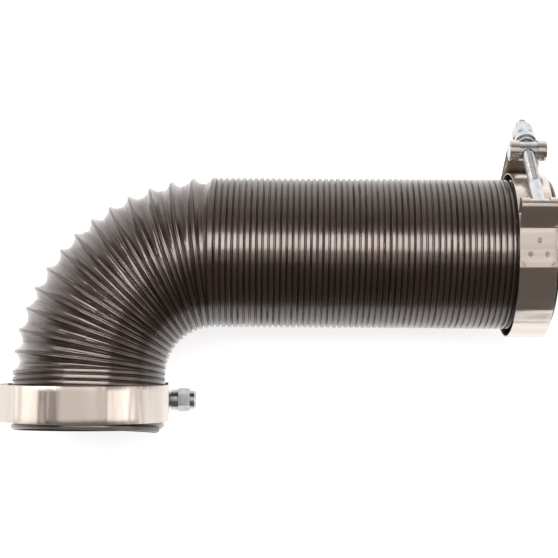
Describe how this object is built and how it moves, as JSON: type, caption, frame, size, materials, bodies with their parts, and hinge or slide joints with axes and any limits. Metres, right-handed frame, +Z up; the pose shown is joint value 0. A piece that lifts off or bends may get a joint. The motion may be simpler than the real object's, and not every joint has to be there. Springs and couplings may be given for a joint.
{
  "type": "sewer hose with band clamps",
  "caption": "Short spiral-wire sewer hose pushed together and bent square, with a loose T-bolt band clamp round each end.",
  "frame": {"origin": "on the floor under the middle of the whole object, seen from above", "axes": "+X along the straight run towards its open end, +Y away from the bent end, +Z up"},
  "size_m": [0.2894, 0.1751, 0.1001],
  "materials": {
    "hose_vinyl": "glossy brown-black vinyl",
    "spring_wire": "drawn spring wire",
    "stainless_band": "rolled stainless strip, bright",
    "zinc_bolt": "zinc-plated steel",
    "nylon": "natural nylon"
  },
  "bodies": {
    "run": {"run_skin": "hose_vinyl", "run_wire": "spring_wire", "web_01": "hose_vinyl"},
    "hose_end": {"end_skin": "hose_vinyl", "end_wire": "spring_wire"},
    "turn_01": {"pleat_01": "hose_vinyl", "web_02": "hose_vinyl"},
    "turn_02": {"pleat_02": "hose_vinyl", "web_03": "hose_vinyl"},
    "turn_03": {"pleat_03": "hose_vinyl", "web_04": "hose_vinyl"},
    "turn_04": {"pleat_04": "hose_vinyl", "web_05": "hose_vinyl"},
    "turn_05": {"pleat_05": "hose_vinyl", "web_06": "hose_vinyl"},
    "turn_06": {"pleat_06": "hose_vinyl", "web_07": "hose_vinyl"},
    "turn_07": {"pleat_07": "hose_vinyl", "web_08": "hose_vinyl"},
    "turn_08": {"pleat_08": "hose_vinyl", "web_09": "hose_vinyl"},
    "turn_09": {"pleat_09": "hose_vinyl", "web_10": "hose_vinyl"},
    "turn_10": {"pleat_10": "hose_vinyl", "web_11": "hose_vinyl"},
    "turn_11": {"pleat_11": "hose_vinyl", "web_12": "hose_vinyl"},
    "turn_12": {"pleat_12": "hose_vinyl", "web_13": "hose_vinyl"},
    "turn_13": {"pleat_13": "hose_vinyl", "web_14": "hose_vinyl"},
    "tail": {"tail_skin": "hose_vinyl", "tail_wire": "spring_wire"},
    "right_strap": {"right_strap_band": "stainless_band", "right_bridge": "stainless_band"},
    "right_loop": {"right_loop_band": "stainless_band"},
    "right_bolt": {"right_t_bolt": "zinc_bolt"},
    "right_pin": {"right_trunnion": "zinc_bolt"},
    "right_washer": {"right_spacer": "zinc_bolt"},
    "right_lock": {"right_nut": "zinc_bolt", "right_nylon_ring": "nylon"},
    "left_strap": {"left_strap_band": "stainless_band", "left_bridge": "stainless_band"},
    "left_loop": {"left_loop_band": "stainless_band"},
    "left_bolt": {"left_t_bolt": "zinc_bolt"},
    "left_pin": {"left_trunnion": "zinc_bolt"},
    "left_washer": {"left_spacer": "zinc_bolt"},
    "left_lock": {"left_nut": "zinc_bolt", "left_nylon_ring": "nylon"}
  },
  "joints": [
    {"name": "hose_stretch", "type": "slide", "parent": "run", "child": "hose_end", "axis": [1, 0, 0], "range_m": [0, 0.4]},
    {"name": "bend_01", "type": "hinge", "parent": "run", "child": "turn_01", "pos_m": [-0.03316, -0.02602, 0.04782], "axis": [0, 0.1428, 0.9897], "range_deg": [-6.2, 0], "deforming": ["web_01"]},
    {"name": "bend_02", "type": "hinge", "parent": "turn_01", "child": "turn_02", "pos_m": [-0.03604, -0.02634, 0.04786], "axis": [0, 0.1428, 0.9897], "range_deg": [-6.2, 0], "deforming": ["web_02"]},
    {"name": "bend_03", "type": "hinge", "parent": "turn_02", "child": "turn_03", "pos_m": [-0.03886, -0.02698, 0.04796], "axis": [0, 0.1428, 0.9897], "range_deg": [-6.2, 0], "deforming": ["web_03"]},
    {"name": "bend_04", "type": "hinge", "parent": "turn_03", "child": "turn_04", "pos_m": [-0.04159, -0.02792, 0.04809], "axis": [0, 0.1428, 0.9897], "range_deg": [-6.2, 0], "deforming": ["web_04"]},
    {"name": "bend_05", "type": "hinge", "parent": "turn_04", "child": "turn_05", "pos_m": [-0.04419, -0.02916, 0.04827], "axis": [0, 0.1428, 0.9897], "range_deg": [-6.2, 0], "deforming": ["web_05"]},
    {"name": "bend_06", "type": "hinge", "parent": "turn_05", "child": "turn_06", "pos_m": [-0.04664, -0.03069, 0.04849], "axis": [0, 0.1428, 0.9897], "range_deg": [-6.2, 0], "deforming": ["web_06"]},
    {"name": "bend_07", "type": "hinge", "parent": "turn_06", "child": "turn_07", "pos_m": [-0.04891, -0.03247, 0.04875], "axis": [0, 0.1428, 0.9897], "range_deg": [-6.2, 0], "deforming": ["web_07"]},
    {"name": "bend_08", "type": "hinge", "parent": "turn_07", "child": "turn_08", "pos_m": [-0.05095, -0.0345, 0.04904], "axis": [0, 0.1428, 0.9897], "range_deg": [-6.2, 0], "deforming": ["web_08"]},
    {"name": "bend_09", "type": "hinge", "parent": "turn_08", "child": "turn_09", "pos_m": [-0.05276, -0.03674, 0.04936], "axis": [0, 0.1428, 0.9897], "range_deg": [-6.2, 0], "deforming": ["web_09"]},
    {"name": "bend_10", "type": "hinge", "parent": "turn_09", "child": "turn_10", "pos_m": [-0.0543, -0.03916, 0.04972], "axis": [0, 0.1428, 0.9897], "range_deg": [-6.2, 0], "deforming": ["web_10"]},
    {"name": "bend_11", "type": "hinge", "parent": "turn_10", "child": "turn_11", "pos_m": [-0.05555, -0.04174, 0.05009], "axis": [0, 0.1428, 0.9897], "range_deg": [-6.2, 0], "deforming": ["web_11"]},
    {"name": "bend_12", "type": "hinge", "parent": "turn_11", "child": "turn_12", "pos_m": [-0.05651, -0.04444, 0.05048], "axis": [0, 0.1428, 0.9897], "range_deg": [-6.2, 0], "deforming": ["web_12"]},
    {"name": "bend_13", "type": "hinge", "parent": "turn_12", "child": "turn_13", "pos_m": [-0.05715, -0.04724, 0.05088], "axis": [0, 0.1428, 0.9897], "range_deg": [-6.2, 0], "deforming": ["web_13"]},
    {"name": "bend_14", "type": "hinge", "parent": "turn_13", "child": "tail", "pos_m": [-0.05747, -0.05008, 0.05129], "axis": [0, 0.1428, 0.9897], "range_deg": [-6.2, 0], "deforming": ["web_14"]},
    {"name": "right_clamp_slide", "type": "slide", "parent": "hose_end", "child": "right_strap", "axis": [1, 0, 0], "range_m": [-0.1, 0.03]},
    {"name": "right_clamp_close", "type": "hinge", "parent": "right_strap", "child": "right_loop", "pos_m": [0.13262, -0.01941, 0.0154], "axis": [1, 0, 0], "range_deg": [-4, 3.5]},
    {"name": "right_bolt_swing", "type": "hinge", "parent": "right_loop", "child": "right_bolt", "pos_m": [0.13262, 0.03752, 0.089], "axis": [1, 0, 0], "range_deg": [-2.16, 2.47]},
    {"name": "right_trunnion_turn", "type": "hinge", "parent": "right_strap", "child": "right_pin", "pos_m": [0.13262, 0.06822, 0.05368], "axis": [1, 0, 0], "range_deg": [-1.54, 1.35]},
    {"name": "right_nut_travel", "type": "slide", "parent": "right_bolt", "child": "right_washer", "axis": [0, 0.6561, -0.7547], "range_m": [-0.00638, 0.00559]},
    {"name": "right_nut_spin", "type": "hinge", "parent": "right_washer", "child": "right_lock", "pos_m": [0.13262, 0.0761, 0.04462], "axis": [0, 0.6561, -0.7547], "range_deg": [-2535.67, 2219.5]},
    {"name": "left_clamp_slide", "type": "slide", "parent": "tail", "child": "left_strap", "axis": [0, -0.9897, 0.1428], "range_m": [-0.003, 0.045]},
    {"name": "left_clamp_close", "type": "hinge", "parent": "left_strap", "child": "left_loop", "pos_m": [-0.10002, -0.06364, 0.09887], "axis": [0, 0.9986, -0.0523], "range_deg": [-4, 0]},
    {"name": "left_bolt_swing", "type": "hinge", "parent": "left_loop", "child": "left_bolt", "pos_m": [-0.11732, -0.06853, 0.00565], "axis": [0, 0.9986, -0.0523], "range_deg": [-0.01, 2.77]},
    {"name": "left_trunnion_turn", "type": "hinge", "parent": "left_strap", "child": "left_pin", "pos_m": [-0.06456, -0.06853, 0.00565], "axis": [0, 0.9986, -0.0523], "range_deg": [-1.24, 0]},
    {"name": "left_nut_travel", "type": "slide", "parent": "left_bolt", "child": "left_washer", "axis": [1, 0, 0], "range_m": [-0.00655, 0.00001]},
    {"name": "left_nut_spin", "type": "hinge", "parent": "left_washer", "child": "left_lock", "pos_m": [-0.05257, -0.06853, 0.00565], "axis": [1, 0, 0], "range_deg": [-2601.92, 6.49]}
  ],
  "couplings": [
    {"joint": "bend_02", "follows": "bend_01", "ratio": 1},
    {"joint": "bend_03", "follows": "bend_01", "ratio": 1},
    {"joint": "bend_04", "follows": "bend_01", "ratio": 1},
    {"joint": "bend_05", "follows": "bend_01", "ratio": 1},
    {"joint": "bend_06", "follows": "bend_01", "ratio": 1},
    {"joint": "bend_07", "follows": "bend_01", "ratio": 1},
    {"joint": "bend_08", "follows": "bend_01", "ratio": 1},
    {"joint": "bend_09", "follows": "bend_01", "ratio": 1},
    {"joint": "bend_10", "follows": "bend_01", "ratio": 1},
    {"joint": "bend_11", "follows": "bend_01", "ratio": 1},
    {"joint": "bend_12", "follows": "bend_01", "ratio": 1},
    {"joint": "bend_13", "follows": "bend_01", "ratio": 1},
    {"joint": "bend_14", "follows": "bend_01", "ratio": 1},
    {"joint": "right_bolt_swing", "follows": "right_clamp_close", "ratio": -0.615},
    {"joint": "right_trunnion_turn", "follows": "right_clamp_close", "ratio": 0.385},
    {"joint": "right_nut_travel", "follows": "right_clamp_close", "m_per_rad": 0.09128},
    {"joint": "right_nut_spin", "follows": "right_clamp_close", "ratio": 632.34},
    {"joint": "left_bolt_swing", "follows": "left_clamp_close", "ratio": -0.692},
    {"joint": "left_trunnion_turn", "follows": "left_clamp_close", "ratio": 0.308},
    {"joint": "left_nut_travel", "follows": "left_clamp_close", "m_per_rad": 0.093665},
    {"joint": "left_nut_spin", "follows": "left_clamp_close", "ratio": 648.86}
  ]
}
